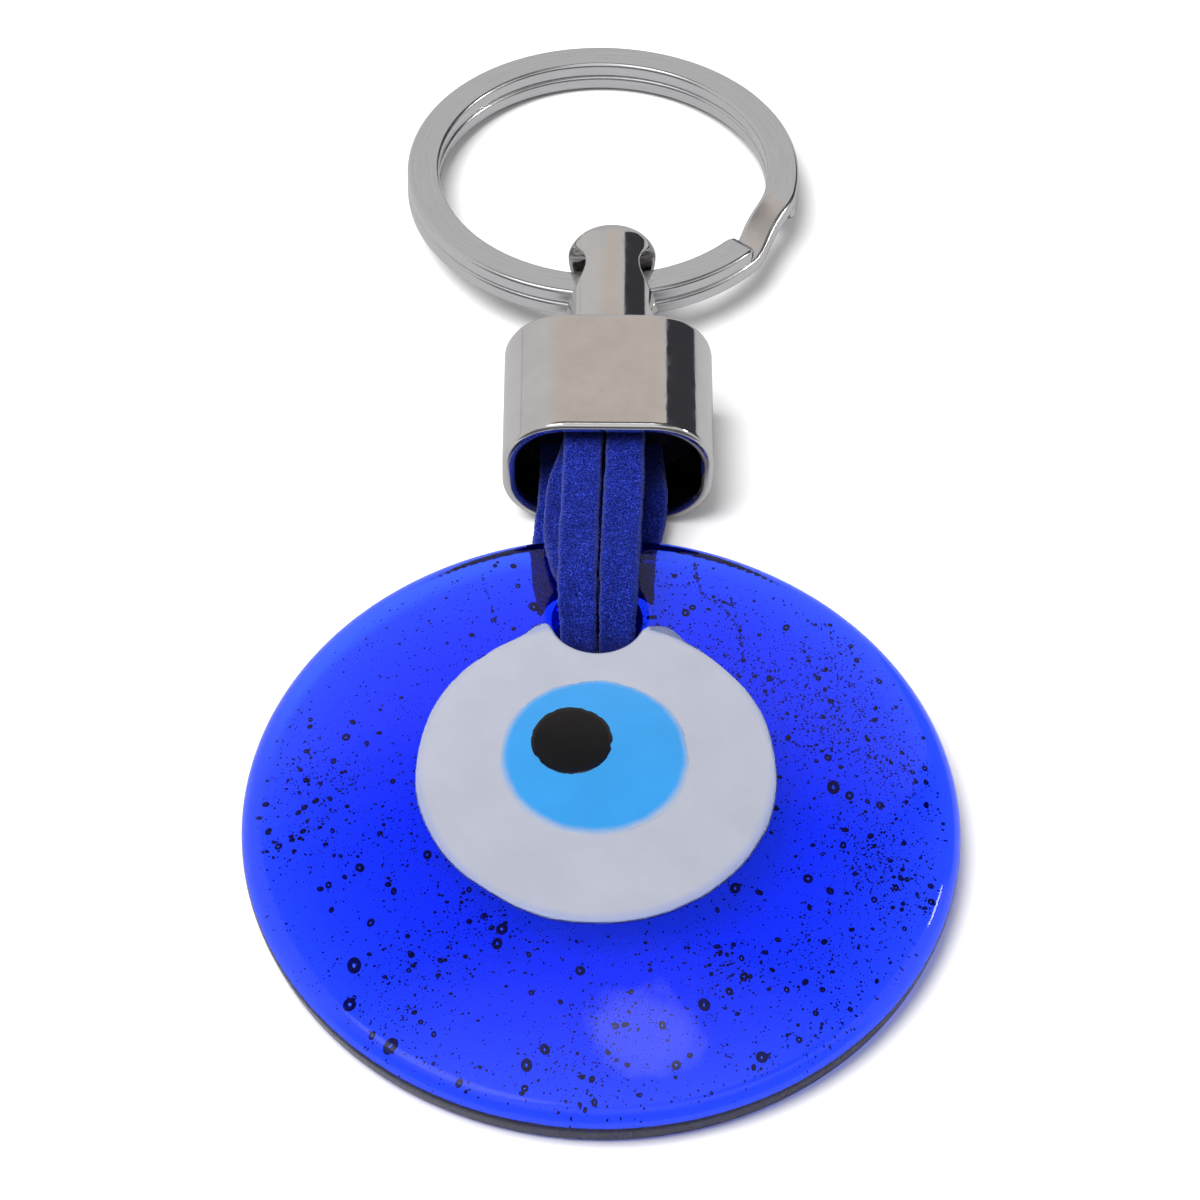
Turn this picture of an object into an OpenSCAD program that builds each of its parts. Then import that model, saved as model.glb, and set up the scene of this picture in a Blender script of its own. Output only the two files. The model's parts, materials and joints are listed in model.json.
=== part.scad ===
// Key ring with a round glass eye charm.
// A round glass disc hangs from three flat suede strap loops. The loops are
// glued into a pressed metal end cap, and a split ring runs through the cross
// hole in the cap's post.
//
// Frame: the key ring lies on its back on a flat surface at Z = 0. X is across,
// +Y runs from the glass disc to the split ring, and +Z is up. The origin is
// the bottom centre of the whole object. Lengths are in millimetres.

/* [Glass disc] */
// Diameter of the glass disc
disc_d = 50; // [44:1:52]
// Thickness of the glass at its rounded rim
disc_rim_t = 3.4; // [2.8:0.1:3.8]
// Thickness of the glass in the middle
disc_mid_t = 5.2; // [4.8:0.1:5.8]
// Diameter of the hole that the straps go through
hole_d = 6.5; // [6.4:0.1:7.5]
// Distance from the disc centre to the hole centre
hole_y = 16; // [15.8:0.1:16.2]
// Sideways offset of the hole and the eye from the disc centre
eye_x = -0.35; // [-0.4:0.05:-0.3]
// Lean of the disc, propped up by the strap ends behind it, in degrees
disc_lean = 2.0; // [2.0:0.1:2.4]

/* [Eye glass] */
// Diameter of the white glass
white_d = 25; // [22:0.5:26]
// Distance of the white glass from the disc centre
white_y = 2.7; // [2:0.1:3]
// Diameter of the light blue glass
iris_d = 12.8; // [10:0.2:14]
// Distance of the light blue glass from the disc centre
iris_y = 3.9; // [3:0.1:4.5]
// Diameter of the black glass
pupil_d = 5.86; // [4:0.02:6.2]
// Sideways offset of the black glass from the disc centre
pupil_x = -2.1; // [-2.2:0.1:-0.4]
// Distance of the black glass from the disc centre
pupil_y = 5.1; // [3.5:0.1:5.2]
// Height of each glass layer above the one under it
layer_step = 0.06; // [0.02:0.01:0.1]

/* [End cap] */
// Width of the cap
cap_w = 15.6; // [15:0.2:17]
// Height of the cap
cap_h = 11.2; // [11:0.1:11.4]
// Length of the cup part of the cap
cap_l = 11.2; // [10:0.1:12]
// Radius of the cap's long corners
cap_r = 4.7; // [4:0.1:5.2]
// Wall of the cup
cap_wall = 1.05; // [0.8:0.05:1.2]
// Thickness of the closed end
cap_end = 1.2; // [1:0.1:2]
// Distance from the disc centre to the cap's mouth
cap_y = 28.9; // [28.6:0.1:29.5]
// Sideways offset of the cap from the disc centre
cap_x = 0.4; // [0:0.1:0.5]

/* [Post] */
// Diameter of the post
post_d = 6.94; // [6.8:0.02:7.4]
// Length of the post from the cap to the start of its dome
post_l = 10.35; // [10:0.05:11]
// Height of the domed end
post_dome = 2.1; // [1.6:0.1:3]
// Diameter of the cross hole that the split ring runs in
eye_hole_d = 5.3; // [5.2:0.05:5.5]
// Distance from the cap's closed end to the cross hole
eye_hole_y = 7.9; // [7.8:0.1:8.1]

/* [Split ring] */
// Outside diameter of the split ring
ring_d = 31.1; // [30.6:0.1:32]
// Width of the flat ring wire
wire_w = 2.52; // [2.3:0.02:2.6]
// Thickness of one coil of the wire
wire_t = 1.25; // [1.1:0.01:1.28]
// Gap between the two coils
coil_gap = 0.05; // [0.03:0.01:0.08]
// Lean of the ring, from the post's hole down to the surface, in degrees
ring_lean = 6.6; // [6.4:0.1:6.8]
// Start of the step between the coils, in degrees round the ring
step_start = -12; // [-20:1:-8]
// Length of the step between the coils, in degrees
step_len = 28; // [20:1:32]
// End of the lower coil, in degrees round the ring
tail_end = -14; // [-15:1:-8]

/* [Straps] */
// Thickness of the suede
strap_t = 1.35; // [1.2:0.05:1.4]
// Width of one strap
strap_w = 2.8; // [2.6:0.05:2.8]

/* [Hidden] */
$fn = 96;
// shift that puts the bottom centre of the object at the origin
y0 = -26.189;
e = 0.01;
disc_r = disc_d / 2;
post_r = post_d / 2;
cap_far = cap_y + cap_l;
mid_z = cap_h / 2;
hole_z = mid_z - 0.05;
hole_yy = cap_far + eye_hole_y;
ring_r = ring_d / 2;
ring_mid = ring_r - wire_w / 2;
ring_half = wire_t + coil_gap / 2;
// the ring rests on the surface at its far side
ring_z = sin(ring_lean) * (ring_r - 0.12) + cos(ring_lean) * (ring_half - 0.12) + 0.091;
// the near side of the ring runs through the cross hole
ring_y = hole_yy - 0.3 + ring_mid * cos(ring_lean);
// edge rounding of the disc
rim_r = 1.4;
dome_h = disc_mid_t - disc_rim_t;
dome_a = disc_r - rim_r * 0.55;
dome_R = (dome_a * dome_a + dome_h * dome_h) / (2 * dome_h);
contact_y = -(disc_r - rim_r);

// height of the front of the glass at a distance from the disc centre
function dome_z(r) = disc_mid_t - dome_R + sqrt(dome_R * dome_R - r * r);

// half section of the glass disc, raised by up
function disc_profile(up) = concat(
    [[0, 0], [disc_r - rim_r, 0]],
    [for (a = [-72:18:0]) [disc_r - rim_r + rim_r * cos(a), rim_r + rim_r * sin(a)]],
    [for (a = [0:15:75]) [disc_r - rim_r + rim_r * cos(a), disc_rim_t - rim_r + rim_r * sin(a) + up]],
    [for (r = [disc_r - 2:-2:0.9]) [r, dome_z(r) + up]],
    [[0, disc_mid_t + up]]);

// solid of revolution of the whole disc
module disc_solid(up) {
    rotate_extrude($fn = 144) polygon(disc_profile(up));
}

// places a piece that is drawn flat on the leaning disc
module lean() {
    translate([0, y0 + contact_y, 0]) rotate([disc_lean, 0, 0])
        translate([0, -contact_y, 0]) children();
}

// hole for the straps
module strap_hole() {
    translate([eye_x, hole_y, -1]) cylinder(d = hole_d, h = disc_mid_t + 3);
}

// upright cylinder that cuts a glass layer out of the disc, from z up
module layer(x, y, d, z) {
    translate([x, y, z]) cylinder(d = d, h = disc_mid_t + 2 - z);
}

white_z = disc_mid_t - 1.6;
iris_z = disc_mid_t - 1.1;
pupil_z = disc_mid_t - 0.7;

// cobalt glass body of the charm, with the strap hole
module blue_glass() {
    color([0.05, 0.16, 0.85]) lean() difference() {
        disc_solid(0);
        strap_hole();
        layer(eye_x, white_y, white_d, white_z);
    }
}

// white glass of the eye
module white_glass() {
    color([0.86, 0.88, 0.93]) lean() difference() {
        intersection() {
            disc_solid(layer_step);
            layer(eye_x, white_y, white_d, white_z);
        }
        strap_hole();
        layer(eye_x, iris_y, iris_d, iris_z);
    }
}

// light blue glass of the iris
module light_blue_glass() {
    color([0.28, 0.65, 0.9]) lean() difference() {
        intersection() {
            disc_solid(2 * layer_step);
            layer(eye_x, iris_y, iris_d, iris_z);
        }
        layer(pupil_x, pupil_y, pupil_d, pupil_z);
    }
}

// black glass of the pupil
module black_glass() {
    color([0.06, 0.06, 0.08]) lean() intersection() {
        disc_solid(3 * layer_step);
        layer(pupil_x, pupil_y, pupil_d, pupil_z);
    }
}

// rounded rectangle, for the section of the cap
module rounded(w, h, r) {
    square([w - 2 * r, h], center = true);
    square([w, h - 2 * r], center = true);
    for (x = [-1, 1], y = [-1, 1]) translate([x * (w / 2 - r), y * (h / 2 - r)]) circle(r = r, $fn = 64);
}

// extrudes a section drawn in X and Z along Y, from y by l
module along_y(y, l) {
    translate([0, y0 + y + l, 0]) rotate([90, 0, 0]) linear_extrude(height = l) children();
}

// half section of the post with its domed end
function post_profile() = concat(
    [[0, -1], [post_r, -1], [post_r, post_l]],
    [for (a = [10:10:80]) [post_r * cos(a), post_l + post_dome * sin(a)]],
    [[0, post_l + post_dome]]);

// pressed cup and post in one piece, with the cross hole for the ring
module end_cap() {
    color([0.78, 0.76, 0.74]) difference() {
        union() {
            translate([cap_x, 0, mid_z]) along_y(cap_y, cap_l) rounded(cap_w, cap_h, cap_r);
            translate([cap_x, y0 + cap_far, mid_z]) rotate([-90, 0, 0])
                rotate_extrude($fn = 72) polygon(post_profile());
        }
        translate([cap_x, 0, mid_z]) along_y(cap_y - 1, cap_l - cap_end + 1)
            rounded(cap_w - 2 * cap_wall, cap_h - 2 * cap_wall, cap_r - cap_wall);
        translate([cap_x - 10, y0 + hole_yy, hole_z]) rotate([0, 90, 0])
            cylinder(d = eye_hole_d, h = 20, $fn = 72);
    }
}

// glue that fills the back of the cup and holds the strap ends
module glue_plug() {
    color([0.75, 0.74, 0.68]) difference() {
        translate([cap_x, 0, mid_z]) along_y(cap_far - cap_end - 5.2, 5.2)
            rounded(cap_w - 2 * cap_wall, cap_h - 2 * cap_wall, cap_r - cap_wall);
        left_solid();
        right_solid();
        under_solid();
    }
}

// rounded section of one coil of the ring wire, at distance r and height z, drawn in by k
function wire_section(r, z, k = 0) = [for (c = [[1, 1, 0], [-1, 1, 90], [-1, -1, 180], [1, -1, 270]], a = [0:30:90])
    [r + c[0] * (wire_w / 2 - 0.36) + (0.36 - k) * cos(c[2] + a),
     z + c[1] * (wire_t / 2 - 0.36) + (0.36 - k) * sin(c[2] + a)]];

// arc of one coil, from angle a by sweep, centred at height z
module coil(a, sweep, z) {
    rotate([0, 0, a]) rotate_extrude(angle = sweep, $fn = 108) polygon(wire_section(ring_mid, z));
}

// one section of the wire at angle a and height z, as points in space
function ring_slice(a, z) = [for (q = wire_section(ring_mid, z, 0.03)) [q[0] * cos(a), q[0] * sin(a), q[1]]];

// how far through the step an angle is, from 0 to 1
function step_t(a) = min(1, max(0, (step_start - a) / step_len));

// wire that steps down from the upper coil to the lower one
module step_wire() {
    up = (wire_t + coil_gap) / 2;
    n = 16;
    m = 14;
    a = [for (i = [0:m]) step_start + 0.8 - i * (step_len + 1.6) / m];
    polyhedron(
        points = [for (t = a) each ring_slice(t, up * cos(180 * step_t(t)))],
        faces = concat(
            [[for (j = [0:n - 1]) j]],
            [for (i = [0:m - 1], j = [0:n - 1])
                [i * n + j, (i + 1) * n + j, (i + 1) * n + (j + 1) % n, i * n + (j + 1) % n]],
            [[for (j = [n - 1:-1:0]) m * n + j]]));
}

// split ring: an upper coil, a step down and a lower coil
module split_ring() {
    up = (wire_t + coil_gap) / 2;
    color([0.72, 0.72, 0.73]) translate([0, y0 + ring_y, ring_z]) rotate([-ring_lean, 0, 0]) {
        coil(step_start, 360 - step_len - 0.4, up);
        step_wire();
        coil(tail_end, 360 + step_start - step_len - tail_end + 0.1, -up);
    }
}

// points on either side of a centre line
function side(p, h) = [for (i = [0:len(p) - 1])
    let (a = p[max(i - 1, 0)], b = p[min(i + 1, len(p) - 1)], d = b - a, n = norm(d))
    p[i] + [-d[1], d[0]] / n * h];

// flat strap along a centre line in Y and Z, from x0 to x1
module strap_run(p, x0, x1) {
    l = side(p, strap_t / 2);
    r = side(p, -strap_t / 2);
    translate([x0, y0, 0]) rotate([90, 0, 90]) linear_extrude(height = x1 - x0)
        polygon(concat(l, [for (i = [len(r) - 1:-1:0]) r[i]]));
}

// centre lines of the straps, as [Y, Z] from the disc centre
inner_end = 36.5;
front_upper = [[inner_end, 8.4], [30, 8.4], [27.5, 8.1], [25, 7.75], [22, 7.75], [19.5, 7.85], [17.8, 7.75],
    [16.5, 7.2], [15.6, 6.3], [15.28, 5.2], [15.25, 3.6], [15.25, 2.3], [15.55, 1.3], [16.3, 0.73]];
front_lower = [[inner_end, 6.7], [30, 6.7], [27.5, 6.5], [25, 6.25], [22, 6.3], [19.5, 6.35], [18, 6.2],
    [17, 5.5], [16.75, 4.4], [16.8, 2.7], [17.55, 1.65], [18.6, 0.73]];
back_run = [[15.9, 0.72], [18, 0.7], [24, 0.7], [25.6, 0.9], [27.2, 1.85], [28.6, 2.65], [30, 2.95], [inner_end, 2.95]];
back_inner = [[18.3, 0.72], [20, 0.7], [24, 0.7], [25.6, 0.9], [27.2, 1.85], [28.6, 2.65], [30, 2.95], [inner_end, 2.95]];

strap_x0 = eye_x - 0.05;

module left_solid() {
    strap_run(front_upper, strap_x0 - strap_w, strap_x0);
    strap_run(back_run, strap_x0 - strap_w - 1.9, strap_x0 - strap_w + 0.8);
}

module right_solid() {
    strap_run(front_upper, strap_x0 + 0.1, strap_x0 + 0.1 + strap_w);
    strap_run(back_run, strap_x0 + 2.1, strap_x0 + 4.8);
}

module under_solid() {
    strap_run(front_lower, strap_x0 - 1.9, strap_x0 + 0.9);
    strap_run(back_inner, strap_x0 - 1.5, strap_x0 + 1.5);
}

// suede loop on the left
module strap_left() {
    color([0.13, 0.2, 0.72]) left_solid();
}

// suede loop on the right
module strap_right() {
    color([0.12, 0.19, 0.7]) right_solid();
}

// suede loop under the other two
module strap_under() {
    color([0.1, 0.16, 0.62]) under_solid();
}

split_ring();
end_cap();
glue_plug();
strap_left();
strap_right();
strap_under();
blue_glass();
white_glass();
light_blue_glass();
black_glass();
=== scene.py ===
import json
import math
import bpy
import numpy as np
from mathutils import Matrix, Vector

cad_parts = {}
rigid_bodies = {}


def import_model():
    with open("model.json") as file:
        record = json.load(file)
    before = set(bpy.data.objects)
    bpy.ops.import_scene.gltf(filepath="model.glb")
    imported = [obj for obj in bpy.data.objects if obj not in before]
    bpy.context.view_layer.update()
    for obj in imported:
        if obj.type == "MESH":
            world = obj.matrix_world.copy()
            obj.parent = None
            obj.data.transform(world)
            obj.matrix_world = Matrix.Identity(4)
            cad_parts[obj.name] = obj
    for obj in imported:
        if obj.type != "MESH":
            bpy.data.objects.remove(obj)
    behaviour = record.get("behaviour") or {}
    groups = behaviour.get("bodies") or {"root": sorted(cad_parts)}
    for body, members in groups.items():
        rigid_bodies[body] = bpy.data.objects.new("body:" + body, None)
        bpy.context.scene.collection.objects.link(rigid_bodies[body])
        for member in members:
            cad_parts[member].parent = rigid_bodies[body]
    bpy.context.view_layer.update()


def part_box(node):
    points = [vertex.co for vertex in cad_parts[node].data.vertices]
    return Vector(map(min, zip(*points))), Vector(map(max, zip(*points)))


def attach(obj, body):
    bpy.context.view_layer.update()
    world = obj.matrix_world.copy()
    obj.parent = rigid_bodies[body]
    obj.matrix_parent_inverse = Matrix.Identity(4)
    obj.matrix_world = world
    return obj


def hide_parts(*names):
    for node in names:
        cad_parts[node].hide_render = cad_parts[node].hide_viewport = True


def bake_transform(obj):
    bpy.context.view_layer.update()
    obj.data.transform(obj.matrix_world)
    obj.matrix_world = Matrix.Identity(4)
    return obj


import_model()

scene = bpy.context.scene

# ---------------------------------------------------------------- places
# Shapes below are drawn in millimetres from the middle of the glass disc, with
# +Y to the ring and Z = 0 at the surface. Y0 carries them into the row frame.
cap_lo, cap_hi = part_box("end_cap")
glass_lo, glass_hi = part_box("blue_glass")
ring_lo, ring_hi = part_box("split_ring")
CAP_Y = 28.9
Y0 = cap_lo[1] * 1000 - CAP_Y
CAP_X = (cap_lo[0] + cap_hi[0]) * 500
CAP_W = (cap_hi[0] - cap_lo[0]) * 1000
CAP_H = cap_hi[2] * 1000
MID_Z = CAP_H / 2
CAP_L, WALL, CAP_R, CAP_END = 11.2, 1.05, 4.7, 1.2
CAP_FAR = CAP_Y + CAP_L
POST_R, POST_L, DOME = 3.47, 10.35, 2.1
HOLE_Y, HOLE_Z, HOLE_R = CAP_FAR + 7.9, MID_Z - 0.05, 2.65
DISC_R = (glass_hi[0] - glass_lo[0]) * 500
RIM_T, MID_T, RIM_R = 3.4, 5.2, 1.4
EYE_X, EYE_HOLE_Y, EYE_HOLE_R = -0.35, 16.0, 3.25
LEAN = math.radians(2.0)
CONTACT = -(DISC_R - RIM_R)
DOME_A = DISC_R - RIM_R * 0.55
DOME_H = MID_T - RIM_T
DOME_SPH = (DOME_A ** 2 + DOME_H ** 2) / (2 * DOME_H)
RNG = np.random.default_rng(7)


def dome_z(r2):
    """Height of the front of the glass over its flat back, at squared distance r2 from the middle."""
    return MID_T - DOME_SPH + np.sqrt(np.maximum(DOME_SPH ** 2 - r2, 0))


def lean(p):
    """Puts points drawn on the flat disc onto the leaning disc."""
    q = np.array(p, float)
    y, z = q[:, 1] - CONTACT, q[:, 2].copy()
    q[:, 1] = CONTACT + y * math.cos(LEAN) - z * math.sin(LEAN)
    q[:, 2] = y * math.sin(LEAN) + z * math.cos(LEAN)
    return q


def place(p):
    """Millimetres from the disc's middle to metres in the row frame."""
    q = np.array(p, float)
    q[:, 1] += Y0
    return q * 0.001


# ---------------------------------------------------------------- mesh tools
def make_object(name, verts, faces, normals=None, smooth=True):
    me = bpy.data.meshes.new(name)
    me.from_pydata([tuple(v) for v in verts], [], [tuple(int(i) for i in f) for f in faces])
    me.update()
    if smooth:
        me.polygons.foreach_set("use_smooth", [True] * len(me.polygons))
    if normals is not None:
        me.normals_split_custom_set_from_vertices([tuple(n) for n in normals])
    ob = bpy.data.objects.new(name, me)
    scene.collection.objects.link(ob)
    return ob


def surface_nets(fn, lo, hi, h):
    """Quads on the zero level of fn, with the vertices moved onto it, and the normals there."""
    ax = [np.arange(lo[i], hi[i] + h, h) for i in range(3)]
    X, Y, Z = np.meshgrid(*ax, indexing="ij")
    F = fn(X, Y, Z).astype(np.float32)
    del X, Y, Z
    inside = F < 0
    nx, ny, nz = F.shape
    c = np.zeros((nx - 1, ny - 1, nz - 1), np.int8)
    for i in (0, 1):
        for j in (0, 1):
            for k in (0, 1):
                c += inside[i:nx - 1 + i, j:ny - 1 + j, k:nz - 1 + k]
    active = (c > 0) & (c < 8)
    idx = -np.ones(active.shape, np.int64)
    cells = np.argwhere(active)
    idx[active] = np.arange(len(cells))
    pos = np.zeros((len(cells), 3))
    cnt = np.zeros(len(cells))
    corners = [(i, j, k) for i in (0, 1) for j in (0, 1) for k in (0, 1)]
    for a in corners:
        for d in range(3):
            if a[d] == 1:
                continue
            b = list(a)
            b[d] = 1
            fa = F[cells[:, 0] + a[0], cells[:, 1] + a[1], cells[:, 2] + a[2]]
            fb = F[cells[:, 0] + b[0], cells[:, 1] + b[1], cells[:, 2] + b[2]]
            cross = (fa < 0) != (fb < 0)
            t = np.where(cross, fa / np.where(cross, fa - fb, 1), 0)
            p = np.tile(np.array(a, float), (len(cells), 1))
            p[:, d] = t
            pos[cross] += p[cross]
            cnt[cross] += 1
    v = (cells + pos / cnt[:, None]) * h + np.array(lo)
    quads = []
    for d in range(3):
        u, w = [(1, 2), (2, 0), (0, 1)][d]
        sl0 = [slice(None)] * 3
        sl1 = [slice(None)] * 3
        sl0[d], sl1[d] = slice(0, -1), slice(1, None)
        a, b = inside[tuple(sl0)], inside[tuple(sl1)]
        e = np.argwhere(a != b)
        e = e[(e[:, u] > 0) & (e[:, w] > 0) & (e[:, u] < F.shape[u] - 1) & (e[:, w] < F.shape[w] - 1)]
        ins = a[e[:, 0], e[:, 1], e[:, 2]]
        ring = []
        for du, dw in ((-1, -1), (0, -1), (0, 0), (-1, 0)):
            q = e.copy()
            q[:, u] += du
            q[:, w] += dw
            ring.append(idx[q[:, 0], q[:, 1], q[:, 2]])
        r = np.stack(ring, 1)
        r[~ins] = r[~ins][:, ::-1]
        quads.append(r)
    quads = np.concatenate(quads)
    g = None
    for _ in range(4):
        g, f0 = gradient(fn, v)
        n2 = (g ** 2).sum(1)
        step = (f0 / np.maximum(n2, 1e-6))[:, None] * g
        ln = np.linalg.norm(step, axis=1, keepdims=True)
        v = v - step * np.minimum(1, 0.5 * h / np.maximum(ln, 1e-9))
    g, _ = gradient(fn, v)
    g /= np.maximum(np.linalg.norm(g, axis=1, keepdims=True), 1e-9)
    return v, quads, g


def gradient(fn, v, e=0.01):
    x, y, z = v.T
    f0 = fn(x, y, z)
    g = np.stack([fn(x + e, y, z) - fn(x - e, y, z), fn(x, y + e, z) - fn(x, y - e, z),
                  fn(x, y, z + e) - fn(x, y, z - e)], 1) / (2 * e)
    return g, f0


def smin(a, b, k):
    h = np.maximum(k - np.abs(a - b), 0) / k
    return np.minimum(a, b) - h * h * k / 4


def smax(a, b, k):
    return -smin(-a, -b, k)


class Waves:
    """Smooth seeded noise made of sine waves, about -1 to 1."""

    def __init__(self, seed, size, n=14):
        r = np.random.default_rng(seed)
        d = r.normal(size=(n, 3))
        d /= np.linalg.norm(d, axis=1, keepdims=True)
        self.k = d * (2 * np.pi / (size * r.uniform(0.7, 1.6, n)))[:, None]
        self.p = r.uniform(0, 2 * np.pi, n)
        self.n = n

    def __call__(self, x, y, z):
        s = 0
        for k, p in zip(self.k, self.p):
            s = s + np.sin(k[0] * x + k[1] * y + k[2] * z + p)
        return s / math.sqrt(self.n)


# ---------------------------------------------------------------- node tools
def new_material(name):
    m = bpy.data.materials.new(name)
    m.use_nodes = True
    nt = m.node_tree
    nt.nodes.clear()
    out = nt.nodes.new("ShaderNodeOutputMaterial")
    return m, nt, out


def node(nt, kind, **kw):
    n = nt.nodes.new(kind)
    for k, v in kw.items():
        if k.startswith("in_"):
            n.inputs[k[3:].replace("_", " ")].default_value = v
        else:
            setattr(n, k, v)
    return n


def noise(nt, coord, scale, detail=3.0, rough=0.5, stretch=None, distortion=0.0):
    src = coord
    if stretch:
        mp = nt.nodes.new("ShaderNodeMapping")
        mp.inputs["Scale"].default_value = stretch
        nt.links.new(coord, mp.inputs["Vector"])
        src = mp.outputs["Vector"]
    n = node(nt, "ShaderNodeTexNoise")
    n.inputs["Scale"].default_value = scale
    n.inputs["Detail"].default_value = detail
    n.inputs["Roughness"].default_value = rough
    n.inputs["Distortion"].default_value = distortion
    nt.links.new(src, n.inputs["Vector"])
    return n.outputs["Fac"]


def ramp(nt, fac, stops, interpolation="LINEAR"):
    r = nt.nodes.new("ShaderNodeValToRGB")
    r.color_ramp.interpolation = interpolation
    els = r.color_ramp.elements
    while len(els) > 1:
        els.remove(els[-1])
    els[0].position = stops[0][0]
    els[0].color = (*stops[0][1], 1) if len(stops[0][1]) == 3 else stops[0][1]
    for p, c in stops[1:]:
        el = els.new(p)
        el.color = (*c, 1) if len(c) == 3 else c
    nt.links.new(fac, r.inputs["Fac"])
    return r.outputs["Color"]


def maprange(nt, fac, a, b, c, d, smooth=False):
    m = nt.nodes.new("ShaderNodeMapRange")
    m.interpolation_type = "SMOOTHSTEP" if smooth else "LINEAR"
    for k, v in (("From Min", a), ("From Max", b), ("To Min", c), ("To Max", d)):
        m.inputs[k].default_value = v
    nt.links.new(fac, m.inputs["Value"])
    return m.outputs["Result"]


def math_node(nt, op, a, b=None):
    m = nt.nodes.new("ShaderNodeMath")
    m.operation = op
    for i, v in enumerate((a, b)):
        if v is None:
            continue
        if isinstance(v, (int, float)):
            m.inputs[i].default_value = v
        else:
            nt.links.new(v, m.inputs[i])
    return m.outputs[0]


def mix_color(nt, fac, a, b, blend="MIX"):
    m = nt.nodes.new("ShaderNodeMix")
    m.data_type = "RGBA"
    m.blend_type = blend
    for sock, v in ((m.inputs[0], fac), (m.inputs[6], a), (m.inputs[7], b)):
        if isinstance(v, (int, float)):
            sock.default_value = v
        elif isinstance(v, tuple):
            sock.default_value = (*v, 1) if len(v) == 3 else v
        else:
            nt.links.new(v, sock)
    return m.outputs[2]


def bump(nt, height, strength, distance, normal=None):
    b = nt.nodes.new("ShaderNodeBump")
    b.inputs["Strength"].default_value = strength
    b.inputs["Distance"].default_value = distance
    nt.links.new(height, b.inputs["Height"])
    if normal is not None:
        nt.links.new(normal, b.inputs["Normal"])
    return b.outputs["Normal"]


def srgb(r, g, b):
    def f(c):
        c /= 255
        return c / 12.92 if c <= 0.04045 else ((c + 0.055) / 1.055) ** 2.4
    return (f(r), f(g), f(b))


def coords(nt, kind="Object"):
    return nt.nodes.new("ShaderNodeTexCoord").outputs[kind]


# ---------------------------------------------------------------- materials
def metal(name, base, rough, wave_um, grain):
    m, nt, out = new_material(name)
    co = coords(nt)
    p = node(nt, "ShaderNodeBsdfPrincipled")
    p.inputs["Metallic"].default_value = 1.0
    big = noise(nt, co, 420, 2.0)
    fine = noise(nt, co, 3600, 4.0, 0.65)
    col = mix_color(nt, maprange(nt, big, 0.3, 0.7, 0, 1), base, tuple(c * 0.93 for c in base))
    nt.links.new(col, p.inputs["Base Color"])
    scuff = noise(nt, co, 900, 5.0, 0.65)
    r = maprange(nt, scuff, 0.42, 0.75, rough, rough + 0.13)
    nt.links.new(r, p.inputs["Roughness"])
    n1 = bump(nt, noise(nt, co, 1100, 2.0, 0.5, stretch=(1.5, 0.6, 1.0)), 1.0, wave_um * 1e-6)
    n2 = bump(nt, fine, 1.0, grain * 1e-6, n1)
    nt.links.new(n2, p.inputs["Normal"])
    nt.links.new(p.outputs[0], out.inputs["Surface"])
    return m


def ring_metal():
    """Nickel plated drawn wire: fine lines along the wire, in the wire's own coordinates."""
    m, nt, out = new_material("ring_nickel")
    uv = coords(nt, "UV")
    co = coords(nt)
    p = node(nt, "ShaderNodeBsdfPrincipled")
    p.inputs["Metallic"].default_value = 1.0
    streak = noise(nt, uv, 1.0, 3.0, 0.6, stretch=(3.0, 70.0, 1.0))
    col = ramp(nt, streak, [(0.3, (0.68, 0.68, 0.685)), (0.7, (0.74, 0.74, 0.745))])
    nt.links.new(col, p.inputs["Base Color"])
    cloud = noise(nt, co, 700, 4.0, 0.6)
    nt.links.new(maprange(nt, cloud, 0.35, 0.7, 0.13, 0.27), p.inputs["Roughness"])
    n1 = bump(nt, noise(nt, uv, 1.0, 2.0, 0.5, stretch=(1.3, 3.0, 1.0)), 1.0, 9e-6)
    n2 = bump(nt, noise(nt, uv, 1.0, 2.0, 0.6, stretch=(4.0, 60.0, 1.0)), 1.0, 0.22e-6, n1)
    nt.links.new(n2, p.inputs["Normal"])
    nt.links.new(p.outputs[0], out.inputs["Surface"])
    return m


def cobalt():
    m, nt, out = new_material("cobalt_glass")
    co = coords(nt)
    p = node(nt, "ShaderNodeBsdfPrincipled")
    p.inputs["Base Color"].default_value = (1, 1, 1, 1)
    p.inputs["Transmission Weight"].default_value = 1.0
    p.inputs["IOR"].default_value = 1.44
    p.inputs["Roughness"].default_value = 0.0
    n1 = bump(nt, noise(nt, co, 240, 2.0, 0.5), 1.0, 25e-6)
    n2 = bump(nt, noise(nt, co, 2600, 3.0, 0.6), 1.0, 0.6e-6, n1)
    nt.links.new(n2, p.inputs["Normal"])
    nt.links.new(p.outputs[0], out.inputs["Surface"])
    v = node(nt, "ShaderNodeVolumeAbsorption")
    v.inputs["Color"].default_value = (0.0, 0.33, 0.945, 1)
    v.inputs["Density"].default_value = 1000.0
    nt.links.new(v.outputs[0], out.inputs["Volume"])
    return m


def bubble_painted_shade_wall():
    """Painted shade: an opaque, nearly black blue put on the turned-away wall of a bubble, where light from below is
    thrown aside.
    """
    m, nt, out = new_material("bubble_painted_shade_wall")
    p = node(nt, "ShaderNodeBsdfPrincipled")
    n = noise(nt, coords(nt), 3000, 2.0)
    nt.links.new(ramp(nt, n, [(0.35, (0.001, 0.003, 0.08)), (0.65, (0.002, 0.006, 0.17))]), p.inputs["Base Color"])
    p.inputs["Roughness"].default_value = 0.4
    p.inputs["Specular IOR Level"].default_value = 0.2
    nt.links.new(p.outputs[0], out.inputs["Surface"])
    return m


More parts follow.
